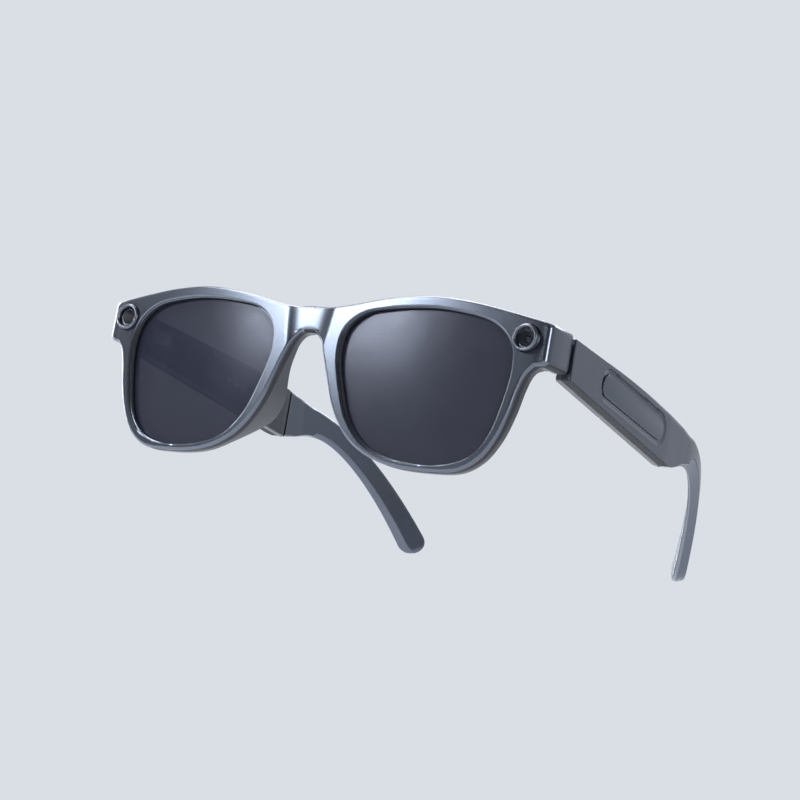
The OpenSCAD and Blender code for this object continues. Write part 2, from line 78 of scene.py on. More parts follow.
BROW = [(0, 20), (7, 20), (14, 21.2), (24, 23.3), (36, 24.6), (48, 23.9), (60, 21.9), (71.4, 19.6)]
RIM = [(68.4, 8), (66.4, 5.6), (65, 1.5), (63.5, -5), (61, -12), (57, -18), (51, -21.6), (42, -22.4),
       (33, -22), (26, -20.3), (19.5, -16.9), (14.6, -12), (11, -6), (8.7, 0), (6.6, 5.6), (4.6, 10.1),
       (2.4, 12.4), (0, 12.9)]
# Directions from the eye's middle, in degrees, that face the points of the brow and of the rim
BROW_AT = [146, 141, 134, 118, 90, 62, 38, 28]
RIM_AT = [14.5, 11, 3, -12, -27, -43, -60, -78, -97, -114, -133, -149, -165, -178, -190, -196.5, -200,
          -203]
OPENING = [(62.3, 7), (60.6, 14.2), (55, 18.9), (46, 20.9), (36, 21.5), (24, 20.5), (16.6, 18.7),
           (11.8, 14), (11, 6.8), (13.2, -1.5), (17, -10.4), (23.5, -17), (33, -20), (44, -20.6),
           (53, -18), (58.2, -12.2), (61, -3)]
HOOK = np.array([(66.5, 98, 5), (65.8, 116.3, 7.4), (58, 134.7, -2.9), (45, 153, -34)], float)

# ---- placing ----
joint = {j["name"]: j for j in frame["joints"]}["left_temple_fold"]
UP = np.array(joint["axis"], float) / np.linalg.norm(joint["axis"])
SIDE = np.array((1.0, 0.0, 0.0))
BACK = np.cross(UP, SIDE)
AXES = np.array((SIDE, BACK, UP))
ORIGIN = np.array(joint["pos_m"], float) - np.array(HINGE) @ AXES / 1000


def to_row(points):
    return ORIGIN + np.asarray(points, float) @ AXES / 1000


def in_temple(points):
    """From the temple's own frame (x outwards from its outer face, y along it) to the design frame."""
    p = np.asarray(points, float)
    cs, ss, ca, sa = math.cos(SLOPE), math.sin(SLOPE), math.cos(SPLAY), math.sin(SPLAY)
    y = p[..., 1] * cs + p[..., 2] * ss
    z = -p[..., 1] * ss + p[..., 2] * cs
    return np.stack((HALF_W + p[..., 0] * ca - y * sa, TEMPLE_Y + p[..., 0] * sa + y * ca,
                     TEMPLE_Z + z), -1)


# ---- curves ----
def spline_point(a, b, c, d, t):
    return 0.5 * (2 * b + (c - a) * t + (2 * a - 5 * b + 4 * c - d) * t * t + (3 * b - 3 * c + d - a)
                  * t ** 3)


def spline(points, steps, closed=False):
    p = np.array(points, float)
    n = len(p)
    made = []
    for i in range(n if closed else n - 1):
        around = [(i + k) % n if closed else min(max(i + k, 0), n - 1) for k in (-1, 0, 1, 2)]
        made += [spline_point(*p[around], t) for t in np.arange(steps) / steps]
    return np.array(made if closed else made + [p[-1]])


def bend(a, b, c, n):
    t = np.linspace(0, 1, n)[:, None]
    return (1 - t) ** 2 * np.array(a) + 2 * t * (1 - t) * np.array(b) + t * t * np.array(c)


def smooth(x, a, b):
    t = np.clip((np.asarray(x, float) - a) / (b - a), 0, 1)
    return t * t * (3 - 2 * t)


def distance(points, line):
    """Distance of each x, z point from a polyline."""
    p = np.asarray(points, float).reshape(-1, 2)
    best = np.full(len(p), 1e9)
    for a, b in zip(line[:-1], line[1:]):
        d = b - a
        t = np.clip(((p - a) @ d) / max(d @ d, 1e-12), 0, 1)
        best = np.minimum(best, np.hypot(*(p - a - t[:, None] * d).T))
    return best.reshape(np.shape(points)[:-1])


def wrap(x):
    return WRAP_R - np.sqrt(WRAP_R ** 2 - np.asarray(x, float) ** 2)


def hook_at(u):
    u = np.asarray(u, float)[..., None]
    return ((1 - u) ** 3 * HOOK[0] + 3 * u * (1 - u) ** 2 * HOOK[1]
            + 3 * u * u * (1 - u) * HOOK[2] + u ** 3 * HOOK[3])


def hook_dir(u):
    d = (hook_at(u + 0.01) - hook_at(u - 0.01))[1:]
    return d / np.linalg.norm(d)


def hook_half(u):
    return HOOK_HALF + 1.9 * max(1 - u / 0.4, 0) ** 2 + 0.35 * (max(u - 0.5, 0) / 0.4) ** 2


def hook_thick(u):
    return HOOK_T * (1 + TIP_SWELL * max(u - TIP_FROM, 0))


def outer_x(y):
    return HALF_W - math.tan(SPLAY) * (y - TEMPLE_Y)


# ---- meshes ----
def grid_faces(n, m, close_n=False, close_m=False):
    faces = []
    for i in range(n if close_n else n - 1):
        for j in range(m if close_m else m - 1):
            i2, j2 = (i + 1) % n, (j + 1) % m
            faces.append((i * m + j, i * m + j2, i2 * m + j2, i2 * m + j))
    return faces


def join_parts(*parts):
    """Several (points, faces) as one."""
    points, faces, n = [], [], 0
    for p, f in parts:
        p = np.asarray(p, float).reshape(-1, 3)
        points.append(p)
        faces += [tuple(k + n for k in face) for face in f]
        n += len(p)
    return np.vstack(points), faces


def mirrored(part):
    return np.asarray(part[0], float).reshape(-1, 3) * (-1, 1, 1), [tuple(reversed(f)) for f in part[1]]


def mesh_object(name, part, sharp=32, merge=2e-6):
    mesh = bpy.data.meshes.new(name)
    mesh.from_pydata(to_row(part[0]).tolist(), [], part[1])
    bm = bmesh.new()
    bm.from_mesh(mesh)
    bmesh.ops.remove_doubles(bm, verts=bm.verts, dist=merge)
    bmesh.ops.dissolve_degenerate(bm, edges=bm.edges, dist=merge / 2)
    bmesh.ops.recalc_face_normals(bm, faces=bm.faces)
    bm.to_mesh(mesh)
    bm.free()
    mesh.shade_smooth()
    mesh.set_sharp_from_angle(angle=math.radians(sharp))
    obj = bpy.data.objects.new(name, mesh)
    bpy.context.scene.collection.objects.link(obj)
    return obj


def baked(obj):
    """Replaces an object's mesh by its modified one."""
    mesh = bpy.data.meshes.new_from_object(obj.evaluated_get(bpy.context.evaluated_depsgraph_get()))
    obj.modifiers.clear()
    obj.data = mesh
    return obj


def combine(obj, part, operation="DIFFERENCE", sharp=32):
    """Cuts a part out of an object, or adds it to the object, as one solid."""
    other = mesh_object(obj.name + "_tool", part)
    change = obj.modifiers.new("combine", "BOOLEAN")
    change.object, change.operation, change.solver = other, operation, "EXACT"
    baked(obj)
    bpy.data.objects.remove(other)
    obj.data.shade_smooth()
    obj.data.set_sharp_from_angle(angle=math.radians(sharp))
    return obj


def bevel_all(obj, width, segments=3, angle=40):
    edge = obj.modifiers.new("edges", "BEVEL")
    edge.width, edge.segments, edge.limit_method = width / 1000, segments, "ANGLE"
    edge.angle_limit = math.radians(angle)
    edge.harden_normals = True
    return obj


def lathe(profile, centre, segments=96, closed=False):
    """Turns (radius, depth) points about an axis along y at centre (x, z)."""
    turn = np.linspace(0, 2 * math.pi, segments, endpoint=False)
    r = np.array([q[0] for q in profile])
    y = np.array([q[1] for q in profile])
    p = np.stack((centre[0] + np.outer(np.cos(turn), r), np.tile(y, (segments, 1)),
                  centre[1] + np.outer(np.sin(turn), r)), -1)
    return p.reshape(-1, 3), grid_faces(segments, len(profile), True, closed)


def box_part(low, high, place=None):
    """A plain block, for cutting; place turns its corners into the design frame."""
    c = np.array([(x, y, z) for x in (low[0], high[0]) for y in (low[1], high[1])
                  for z in (low[2], high[2])], float)
    faces = [(0, 1, 3, 2), (4, 6, 7, 5), (0, 4, 5, 1), (2, 3, 7, 6), (0, 2, 6, 4), (1, 5, 7, 3)]
    return (place(c) if place else c), faces


def prism(outline, low, high, to_design, rounded=0.0, steps=3):
    """A solid with this (a, b) outline between two levels; its high edge is rounded."""
    outline = np.asarray(outline, float)
    ahead, behind = np.roll(outline, -1, 0), np.roll(outline, 1, 0)
    t = ahead - behind
    inward = np.stack((-t[:, 1], t[:, 0]), -1) / np.linalg.norm(t, axis=1)[:, None]
    area = np.sum(outline[:, 0] * np.roll(outline[:, 1], -1) - outline[:, 1] * np.roll(outline[:, 0],
                                                                                       -1))
    inward = inward if area > 0 else -inward
    rings = [(low, 0.0)]
    for a in (np.linspace(0, math.pi / 2, steps + 1) if rounded else [0.0]):
        rings.append((high - rounded * (1 - math.sin(a)), rounded * (1 - math.cos(a))))
    pts = np.array([[(*(q + inset * k), level) for q, k in zip(outline, inward)] for level,
                    inset in rings])
    n = len(outline)
    faces = grid_faces(len(rings), n, False, True)
    faces.append(tuple(range(n)))
    faces.append(tuple(range((len(rings) - 1) * n, len(rings) * n)))
    return to_design(pts.reshape(-1, 3)), faces


def stadium(centre_a, centre_b, radius, n=20):
    """Outline of a slot with round ends between two centres."""
    a, b = np.array(centre_a, float), np.array(centre_b, float)
    turn = math.atan2(*(b - a)[::-1])
    out = []
    for c, start in ((b, turn - math.pi / 2), (a, turn + math.pi / 2)):
        out += [c + radius
                * np.array((math.cos(start + k * math.pi / n), math.sin(start + k * math.pi / n)))
                for k in range(n + 1)]
    return np.array(out)


# ---- materials ----
def finish_material(name, base, metallic=0.0, roughness=0.5, grain=0.0, grain_scale=9000.0, vary=0.08,
                    rough_vary=0.05, wear=0.0, wear_and_highlight_color=(0.5, 0.52, 0.56), coat=0.0, alpha=1.0,
                    ior=1.45,
                    brushed=None, speckle=0.0, specular=0.5, tint=(1.0, 1.0, 1.0)):
    """A moulded, painted or machined surface: drifting colour and roughness, grain, lighter edges that
    are worn, and on the bezel a painted highlight.
    """
    mat = bpy.data.materials.new(name)
    mat.use_nodes = True
    nodes, links = mat.node_tree.nodes, mat.node_tree.links
    shader = nodes["Principled BSDF"]
    shader.inputs["Metallic"].default_value = metallic
    shader.inputs["IOR"].default_value = ior
    shader.inputs["Coat Weight"].default_value = coat
    shader.inputs["Coat Roughness"].default_value = 0.12
    shader.inputs["Alpha"].default_value = alpha
    shader.inputs["Specular IOR Level"].default_value = specular
    shader.inputs["Specular Tint"].default_value = (*tint, 1.0)
    place = nodes.new("ShaderNodeTexCoord").outputs["Object"]

    def noise(scale, detail=4.0, stretch=None):
        source = place
        if stretch:
            mapping = nodes.new("ShaderNodeMapping")
            mapping.inputs["Scale"].default_value = stretch
            links.new(place, mapping.inputs["Vector"])
            source = mapping.outputs["Vector"]
        tex = nodes.new("ShaderNodeTexNoise")
        tex.inputs["Scale"].default_value = scale
        tex.inputs["Detail"].default_value = detail
        links.new(source, tex.inputs["Vector"])
        return tex.outputs["Fac"]

    def spread(value, low, high, start=0.3, end=0.7):
        out = nodes.new("ShaderNodeMapRange")
        for socket, number in (("From Min", start), ("From Max", end), ("To Min", low),
                               ("To Max", high)):
            out.inputs[socket].default_value = number
        links.new(value, out.inputs["Value"])
        return out.outputs["Result"]

    def mix(fac, a, b):
        out = nodes.new("ShaderNodeMix")
        out.data_type = "RGBA"
        links.new(fac, out.inputs["Factor"])
        for socket, c in ((out.inputs["A"], a), (out.inputs["B"], b)):
            if isinstance(c, tuple):
                socket.default_value = (*c, 1.0)
            else:
                links.new(c, socket)
        return out.outputs["Result"]

    drift = noise(55.0, 3.0)
    fine = noise(grain_scale, 2.0, brushed)
    color = mix(spread(drift, 0, 1), tuple(c * (1 - vary) for c in base),
                tuple(min(c * (1 + vary), 1) for c in base))
    if speckle:
        color = mix(spread(noise(grain_scale * 0.7, 1.0), 0, speckle, 0.55, 0.7), color,
                    tuple(min(c * 2.2 + 0.03, 1) for c in base))
    rough = spread(noise(180.0, 5.0), roughness - rough_vary, roughness + rough_vary)
    # lighter colour on sharp edges: rubbed edges, and on the bezel a painted highlight of its rings
    if wear:
        edge = spread(nodes.new("ShaderNodeNewGeometry").outputs["Pointiness"], 0, wear, 0.53, 0.62)
        broken = nodes.new("ShaderNodeMath")
        broken.operation = "MULTIPLY"
        links.new(edge, broken.inputs[0])
        links.new(spread(noise(420.0, 6.0), 0.25, 1.0), broken.inputs[1])
        color = mix(broken.outputs["Value"], color, wear_and_highlight_color)
    links.new(color, shader.inputs["Base Color"])
    links.new(rough, shader.inputs["Roughness"])
    if grain:
        bump = nodes.new("ShaderNodeBump")
        bump.inputs["Strength"].default_value = grain
        bump.inputs["Distance"].default_value = 2e-5
        links.new(fine, bump.inputs["Height"])
        links.new(bump.outputs["Normal"], shader.inputs["Normal"])
    return mat


MAT, SLOT = {}, {}


def finish(name, slot, *look, **more):
    """A named finish, with the slot name kept beside it."""
    MAT[name] = finish_material(name, *look, **more)
    SLOT[name] = slot


finish("graphite", "satin_graphite", (0.095, 0.106, 0.131), 0.92, 0.25, 0.06, 7000, 0.03, 0.008, 0.1,
       (0.2, 0.22, 0.26), speckle=0.06)
# shade: a flat dark copy of the graphite, painted shade for undersides and inner sides
finish("shade", "satin_graphite", (0.03, 0.031, 0.035), 0.0, 0.6, 0.2, 6000, 0.06, 0.03, specular=0.06)
finish("slate", "matte_slate", (0.068, 0.07, 0.079), 0.6, 0.42, 0.2, 6000, 0.06, 0.03, 0.15,
       (0.12, 0.12, 0.13), specular=0.2)
finish("lens", "tinted_lens", (0.013, 0.014, 0.024), 0.0, 0.22, 0.0, 3000, 0.05, 0.02, alpha=0.84,
       ior=1.36, tint=(0.8, 0.84, 1.0))
# the bezel's light edge colour is a painted highlight on its thin rings
finish("bezel", "bezel_metal", (0.085, 0.092, 0.11), 0.95, 0.26, 0.06, 2600, 0.04, 0.02, 0.3,
       (0.4, 0.43, 0.5), brushed=(1, 8, 1))
finish("glass", "window_glass", (0.008, 0.009, 0.014), 0.0, 0.07, 0.0, 3000, 0.05, 0.02, alpha=0.3,
       ior=1.3, specular=0.12)
finish("black", "black_plastic", (0.012, 0.012, 0.014), 0.0, 0.42, 0.3, 5200, 0.15, 0.08)
finish("lens_small", "window_glass", (0.006, 0.008, 0.02), 0.0, 0.03, 0.0, 3000, 0.05, 0.01, coat=1.0,
       ior=1.7)
finish("board", "circuit_board", (0.03, 0.14, 0.08), 0.1, 0.38, 0.3, 2400, 0.2, 0.08)
finish("reflector", "reflector", (0.3, 0.31, 0.33), 1.0, 0.34, 0.06, 2400, 0.04, 0.04)
finish("copper", "flex_copper", (0.45, 0.24, 0.09), 0.4, 0.4, 0.2, 2400, 0.12, 0.06, brushed=(1, 6, 1))
finish("steel", "steel", (0.46, 0.47, 0.49), 0.95, 0.28, 0.3, 1800, 0.08, 0.07, 0.3, brushed=(6, 1, 1))
finish("foil", "battery_foil", (0.6, 0.62, 0.65), 0.9, 0.3, 0.5, 900, 0.06, 0.06)
finish("gold", "gold_contact", (0.85, 0.62, 0.25), 1.0, 0.22, 0.15, 2200, 0.06, 0.05, 0.3,
       (0.95, 0.8, 0.5))
finish("mesh", "bezel_metal", (0.16, 0.165, 0.18), 0.8, 0.42, 0.5, 3600, 0.1, 0.07)


def piece(obj, material, body, *nodes):
    """Gives a finished mesh its material and body, and hides the CAD nodes that it stands for."""
    obj.data.materials.clear()
    obj.data.materials.append(MAT[material])
    for face in obj.data.polygons:
        face.material_index = 0
    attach(obj, body)
    if nodes:
        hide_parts(*nodes)
    return obj


# ---- outline of the front ----
def front_stations(limit_x=None):
    """Outer points of a half front, seam first, the opening's direction that faces each, and
    whether each lies on the side wall. limit_x keeps the outline inside the side walls."""
    brow_line, rim_line = np.array(BROW, float), np.array(RIM, float)
    outer, angle = [], []

    def add(points, a, b):
        for k, q in enumerate(points):
            outer.append(q)
            angle.append(a + (b - a) * k / max(len(points) - 1, 1))

    add([(0, z) for z in np.linspace(12.9, 20, 13)[:-1]], 157, 146)
    dense = spline(brow_line, 24)
    for i in range(len(BROW) - 2):
        add(dense[i * 24:(i + 1) * 24:2], BROW_AT[i], BROW_AT[i + 1])
    last = dense[6 * 24:]
    last = last[last[:, 0] < 70.9]
    add(last[::2], 38, 29)
    add(bend(last[-1], (71.95, 19.55), (72, 18.3), 9), 28.8, 26.4)
    add([(72, z) for z in np.linspace(17.8, 10.3, 16)], 26, 18)
    add(bend((72, 9.9), (72, 8.62), (70.9, 8.45), 9), 17.8, 16.2)
    add([(70.4, 8.36), (69.8, 8.24), (69.79, 8.24), (69.2, 8.13), (68.8, 8.06)], 15.9, 14.9)
    dense = spline(rim_line, 18)
    for i in range(len(RIM) - 1):
        step = 2 if i else 3
        add(dense[i * 18:(i + 1) * 18:step], RIM_AT[i], RIM_AT[i + 1])
    outer, angle = np.array(outer), np.array(angle)
    # one extra station on each side of the wall's inner side, so that it ends in a clean edge
    cut = np.where(np.diff((outer[:, 0] > SIDE_IN).astype(int)) == 1)[0][0]
    t = (SIDE_IN - outer[cut, 0]) / (outer[cut + 1, 0] - outer[cut, 0])
    q = outer[cut] + t * (outer[cut + 1] - outer[cut])
    a = angle[cut] + t * (angle[cut + 1] - angle[cut])
    outer = np.insert(outer, cut + 1, [q, q], 0)
    angle = np.insert(angle, cut + 1, [a, a])
    on_wall = outer[:, 0] >= SIDE_IN - 1e-9
    on_wall[cut + 1] = False
    if limit_x:
        outer = outer.copy()
        outer[:, 0] = np.minimum(outer[:, 0], limit_x)
    return outer, angle, on_wall


EYE_LINE = spline(OPENING, 16, closed=True)
_from_eye = EYE_LINE - EYE
_turn = np.degrees(np.arctan2(_from_eye[:, 1], _from_eye[:, 0]))
_order = np.argsort(_turn)


def opening_at(angle):
    """Point of the lens opening in a direction from the eye's middle."""
    a = (np.asarray(angle, float) + 180) % 360 - 180
    r = np.interp(a, _turn[_order], np.hypot(*_from_eye.T)[_order], period=360)
    return np.stack((EYE[0] + r * np.cos(np.radians(a)), EYE[1] + r * np.sin(np.radians(a))), -1)


def trough(x, z):
    """Hollow of the bridge between its two crisp edges."""
    edge = 6.0 + (np.asarray(z, float) - 9.7) * 0.145
    share = np.clip(np.abs(np.asarray(x, float)) / edge, 0, 1.25)
    return 0.8 * np.where(share < 0.93, 1 - share ** 3,
                          0.1956 * np.clip((1.13 - share) / 0.2, 0, 1) ** 2)


def crown(z):
    """The front is a little convex from brow to lower rim."""
    return CROWN * (np.asarray(z, float) - 3) ** 2


def fillet(d, r):
    """Drop of a rounded edge of radius r at distance d inside the outline."""
    return np.where(d < r, r - np.sqrt(np.maximum(r * r - (r - np.minimum(d, r)) ** 2, 0)), 0)


def half_loft(outer, angle, columns):
    """Lofts the sections of a half front. A column gives, for all stations, the share of the way
    from the opening to the outline, and a depth; the solid closes across the seam by its mirror."""
    inner = opening_at(angle)
    width = np.hypot(*(outer - inner).T)
    stack = []
    for column in columns:
        f, y, fixed = column(inner, outer, width)
        q = inner + (outer - inner) * np.asarray(f)[:, None] if fixed is None else fixed
        stack.append(np.stack((q[:, 0], y(q) if callable(y) else np.broadcast_to(y, len(q)), q[:, 1]),
                              -1))
    pts = np.stack(stack, 1)
    n, m = pts.shape[:2]
    flat = pts.reshape(-1, 3)
    flat[np.abs(flat[:, 0]) < 1e-6, 0] = 0
    faces = [f for f in grid_faces(n, m, True, True) if not all(flat[k, 0] == 0 for k in f)]
    half = (flat, faces)
    return join_parts(half, mirrored(half))


OUTER, ANGLE, ON_WALL = front_stations()
SEAM = OUTER[:, 0] < 1e-6
OUT_LINE = np.vstack((OUTER[~SEAM], [(0, 12.9)]))
OUT_LINE = np.vstack(([(0, 20)], OUT_LINE))


def front_depth(q):
    x, z = np.abs(q[..., 0]), q[..., 1]
    d = distance(np.stack((x, z), -1), OUT_LINE)
    valley = 0.07 * np.exp(-((x - 69.5) / 1.1) ** 2) * smooth(z, 7.5, 10)
    return wrap(x) + crown(z) + trough(x, z) + fillet(d, 0.85 + 0.75 * smooth(x, 69.8, 71.2)) + valley


def rear_depth(q):
    x, z = np.abs(q[..., 0]), q[..., 1]
    boss = smooth(x, 57.5, 63.5) * (13 - RIM_T - wrap(62)) * smooth(z, 6.8, 9.2)
    return wrap(x) + RIM_T + boss


def inward_from_opening(offset, depth):
    """Column at a fixed offset outside the opening."""
    def column(inner, outer, width):
        return (offset / width,
                lambda q: wrap(q[:, 0]) + (trough(*q.T) + crown(q[:, 1])) * (depth < 1.5) + depth, None)
    return column


def front_column(share, near_in=0.6, near_out=0.95):
    """Column of the front face; share 0 to 1 runs between the opening's edge and the outer round."""
    def column(inner, outer, width):
        a, b = near_in / width, 1 - near_out / width
        return a + (b - a) * share, front_depth, None
    return column


def front_round(distance_in):
    def column(inner, outer, width):
        return 1 - distance_in / width, front_depth, None
    return column


def wall_column(depth, wall_depth, inset):
    """Column on the outer side: the side walls of the endpieces reach further back."""
    def column(inner, outer, width):
        y = np.where(ON_WALL, wall_depth, wrap(outer[:, 0]) + depth)
        return 1 - inset / width, y, None
    return column


def wall_inside(wall_depth, depth, inset):
    def column(inner, outer, width):
        q = inner + (outer - inner) * (1 - inset / width)[:, None]
        q = np.where(ON_WALL[:, None], np.stack((np.full(len(q), SIDE_IN), outer[:, 1]), -1), q)
        return None, np.where(ON_WALL, wall_depth, wrap(q[:, 0]) + depth), q
    return column


def front_shell_part():
    end = FRONT_T - PART_GAP
    columns = [inward_from_opening(*q) for q in (
        (LENS_LIP + 0.05, end), (LENS_LIP + 0.05, LENS_Y - 0.03), (-0.1, LENS_Y - 0.03), (-0.1, 0.86),
        (-0.07, 0.8), (0.13, 0.72), (0.15, 0.68), (0.15, 0.32), (0.17, 0.27), (0.58, 0.045))]
    columns += [front_column(k / 26) for k in range(27)]
    columns += [front_round(d) for d in (0.78, 0.62, 0.47, 0.33, 0.21, 0.12, 0.05, 0.012, 0.0)]
    columns += [wall_column(1.6, 9, 0.0), wall_column(end - 0.14, END_BACK - 0.2, 0.0),
                wall_column(end - 0.03, END_BACK - 0.06, 0.05), wall_column(end, END_BACK, 0.18),
                wall_inside(END_BACK, end, 0.6), wall_inside(end + 4, end, 0.8)]
    return half_loft(OUTER, ANGLE, columns)


def pad_share(inner, outer):
    """How far the nose pads reach, for each station: full along the nose side of the rim."""
    z = outer[:, 1]
    nose = (outer[:, 0] > 2) & (outer[:, 0] < 24)
    return np.where(nose, smooth(z, -19.5,
                                 -9.5) * (1 - 0.85 * smooth(z, -8, 6) - 0.15 * smooth(z, 4, 11)), 0)


def rear_shell_part():
    outer, angle, _ = front_stations(limit_x=SIDE_IN - 0.05)
    start = FRONT_T + PART_GAP / 2

    def rear_column(share=None, inset=None, drop=0.0, forward=None):
        def column(inner, out, width):
            f = 1 - inset / width if share is None else 0.5 / width + (1 - 1.3 / width) * share
            q = inner + (out - inner) * f[:, None]
            pad = pad_share(inner, out) * smooth(f, 0.2, 0.95)
            inside = (out[:, 0] < 1e-6) & (out[:, 1] > 12.95) & (out[:, 1] < 19.95)
            y = rear_depth(q) - np.where(inside, 0.0, drop) + 6.0 * pad
            if forward is not None:
                return None, wrap(q[:, 0]) + forward, q
            return None, y, q + np.array((-1.0, 0.25)) * (0.3 * pad)[:, None]
        return column

    def groove(offset, depth, rear=None):
        def column(inner, out, width):
            q = inner + (out - inner) * (offset / width)[:, None]
            y = wrap(q[:, 0]) + depth if rear is None else rear_depth(q) - rear
            return None, y, q
        return column

    lens_back = LENS_Y + LENS_T + 0.03
    columns = [groove(*q) for q in (
        (LENS_LIP + 0.05, start), (LENS_LIP + 0.05, lens_back), (0.0, lens_back), (0.0, 0, 0.45),
        (0.08, 0, 0.2), (0.25, 0, 0.06))]
    columns += [rear_column(share=k / 20) for k in range(21)]
    columns += [rear_column(inset=d, drop=float(fillet(d, 0.75)))
                for d in (0.6, 0.42, 0.26, 0.13, 0.04, 0.0)]
    columns += [rear_column(inset=0.0, forward=4.0), rear_column(inset=0.0, forward=start + 0.14),
                rear_column(inset=0.05, forward=start + 0.03), rear_column(inset=0.2, forward=start)]
    return half_loft(outer, angle, columns)


def corner_hole(radius, back, sides=(-1, 1)):
    profile = [(0, -2), (radius, -2), (radius, back), (0, back)]
    return join_parts(*[lathe(profile, (s * CORNER[0], CORNER[1]), 72) for s in sides])


def both_sides(part):
    return join_parts(part, mirrored(part))


def upright_cylinder(x, y, radius, low, high, n=40):
    turn = np.linspace(0, 2 * math.pi, n, endpoint=False)
    ring = np.stack((x + radius * np.cos(turn), y + radius * np.sin(turn)), -1)
    return prism(ring, low, high, lambda p: p)


def in_shade(obj, material, test):
    """Gives a second, dark material to the faces that pass a test on their middles and normals, both
    in the design frame. It is painted shade, for faces that lie in shade in the picture."""
    obj.data.materials.append(MAT[material])
    for face in obj.data.polygons:
        middle = AXES @ (np.array(face.center) - ORIGIN) * 1000
        face.material_index = int(test(middle, AXES @ np.array(face.normal)))


def make_front():
    front = mesh_object("front_shell_skin", front_shell_part())
    combine(front, corner_hole(3.92, 9))
    piece(front, "graphite", "front", "front_shell")
    # painted shade on the front's undersides and on its faces behind the front that look sideways or
    # back
    in_shade(front, "shade", lambda p, n: p[1] > wrap(p[0]) + 1.2 and (
        n[2] < -0.5 or n[1] > -0.3 and abs(p[0]) < SIDE_IN and n[2] < 0.5))

    rear = mesh_object("rear_shell_skin", rear_shell_part())
    block_line = stadium((68.3, 9.9), (68.3, 18.0), 1.4, 6)
    block_line[:, 0] = np.where(block_line[:, 0] > 68.3, SIDE_IN - 0.05, block_line[:, 0])
    block = prism(block_line, 10.5, END_BACK, lambda p: np.stack((p[..., 0], p[..., 2], p[..., 1]), -1),
                  0.25)
    combine(rear, both_sides(block), "UNION")
    cuts = [corner_hole(3.72, 12.2), both_sides(upright_cylinder(HINGE[0], HINGE[1], 1.8, 5, 24)),
            both_sides(box_part((65.35, 12.55, 9.55), (66.85, 18.3, 17.25)))]
    for cut in cuts:
        combine(rear, cut)
    piece(rear, "slate", "front", "rear_shell")


def make_lens(name, side):
    """A lens: a curved plate with a rounded edge that sits in the grooves of the two shells."""
    turn = np.linspace(0, 360, 180, endpoint=False)
    edge = opening_at(turn)
    direction = (edge - EYE) / np.linalg.norm(edge - EYE, axis=1)[:, None]
    rim = edge + direction * LENS_LIP

    def ring(share, inset, depth):
        q = EYE + (rim - EYE) * share - direction * inset
        crown = 0.8 * (1 - np.clip(np.hypot((q[:, 0] - EYE[0]) / 28, (q[:, 1] - EYE[1]) / 23), 0,
                                   1) ** 2)
        return np.stack((q[:, 0], wrap(q[:, 0]) + depth - crown, q[:, 1]), -1)

    rings = [ring(k / 14, 0, LENS_Y + 0.36) for k in range(1, 14)]
    rings += [ring(1, 0.25, LENS_Y + 0.36), ring(1, 0.08, LENS_Y + 0.44), ring(1, 0.0, LENS_Y + 0.62),
              ring(1, 0.0, LENS_Y + LENS_T - 0.2), ring(1, 0.2, LENS_Y + LENS_T)]
    rings += [ring(k / 14, 0, LENS_Y + LENS_T) for k in range(13, 0, -1)]
    n = len(turn)
    pts = np.vstack(rings)
    faces = [tuple(reversed(f)) for f in grid_faces(len(rings), n, False, True)]
    faces += [tuple(range(n)), tuple(range((len(rings) - 1) * n, len(rings) * n))]
    part = (pts, faces)
    obj = mesh_object(name + "_glass", part if side > 0 else mirrored(part))
    piece(obj, "lens", "front", name)


def make_corner(side, bezel_node, window_node, insert_node):
    """A raised ring with a window, and behind it the camera's stepped barrel or the light's bowl."""
    at = (side * CORNER[0], CORNER[1])
    front = float(wrap(CORNER[0])) - 1.4
    ring = [(radius, front + y) for radius, y in (
        (3.7, 3.3), (3.7, 0.5), (3.66, 0.3), (3.52, 0.12), (3.3, 0.02), (3.18, 0), (3.06, 0.03),
        (2.94, 0.14), (2.86, 0.34), (2.78, 0.42), (2.78, 1.22), (2.42, 1.24), (2.42, 3.3))]
    obj = mesh_object(bezel_node + "_ring", lathe(ring, at, 128, True))
    piece(obj, "bezel", "front", bezel_node)
    dome = [(0, front + 0.4)] + [(2.7 * k / 12, front + 0.4 + 0.02 * (k / 12) ** 2)
                                 for k in range(1, 13)]
    dome += [(2.75, front + 0.6), (2.75, front + 1.15), (0, front + 1.15)]
    obj = mesh_object(window_node + "_pane", lathe(dome, at, 96))
    piece(obj, "glass", "front", window_node)
    if side > 0:
        steps = [(2.36, 8.55), (2.36, 5.06), (2.2, 5.02), (2.08, 5.02), (2.0, 5.2), (1.95, 5.6),
                 (1.78, 5.62),
                 (1.7, 5.5), (1.6, 5.5), (1.54, 5.9), (1.36, 5.95), (1.3, 5.82), (1.2, 5.82),
                 (1.14, 6.3),
                 (1.1, 7.6), (0, 7.6), (0, 8.55)]
        obj = mesh_object(insert_node + "_rings", lathe(steps, at, 96))
        piece(obj, "black", "front", insert_node)
        lens = [(0, 5.72)] + [(1.12 * k / 8, 5.72 + 0.42 * (k / 8) ** 2) for k in range(1, 9)]
        lens += [(1.12, 6.5), (0, 6.5)]
        obj = mesh_object("camera_front_element", lathe(lens, at, 64))
        piece(obj, "lens_small", "front")
    else:
        bowl = [(2.36, 8.55), (2.36, 5.04), (2.28, 5.0), (2.1, 5.02)]
        bowl += [(2.1 - 1.3 * k / 8, 5.02 + 2.5 * (k / 8) ** 0.6) for k in range(1, 9)]
        bowl += [(0.8, 7.7), (0, 7.7), (0, 8.55)]
        obj = mesh_object(insert_node + "_bowl", lathe(bowl, at, 96))
        piece(obj, "reflector", "front", insert_node)
        dot = [(0, 7.1)] + [(0.55 * math.sin(a), 7.1 + 0.4 * (1 - math.cos(a)))
                            for a in np.linspace(0.3, 1.57, 5)]
        dot += [(0.62, 7.72), (0, 7.72)]
        obj = mesh_object("light_emitter", lathe(dot, at, 48))
        piece(obj, "gold", "front")


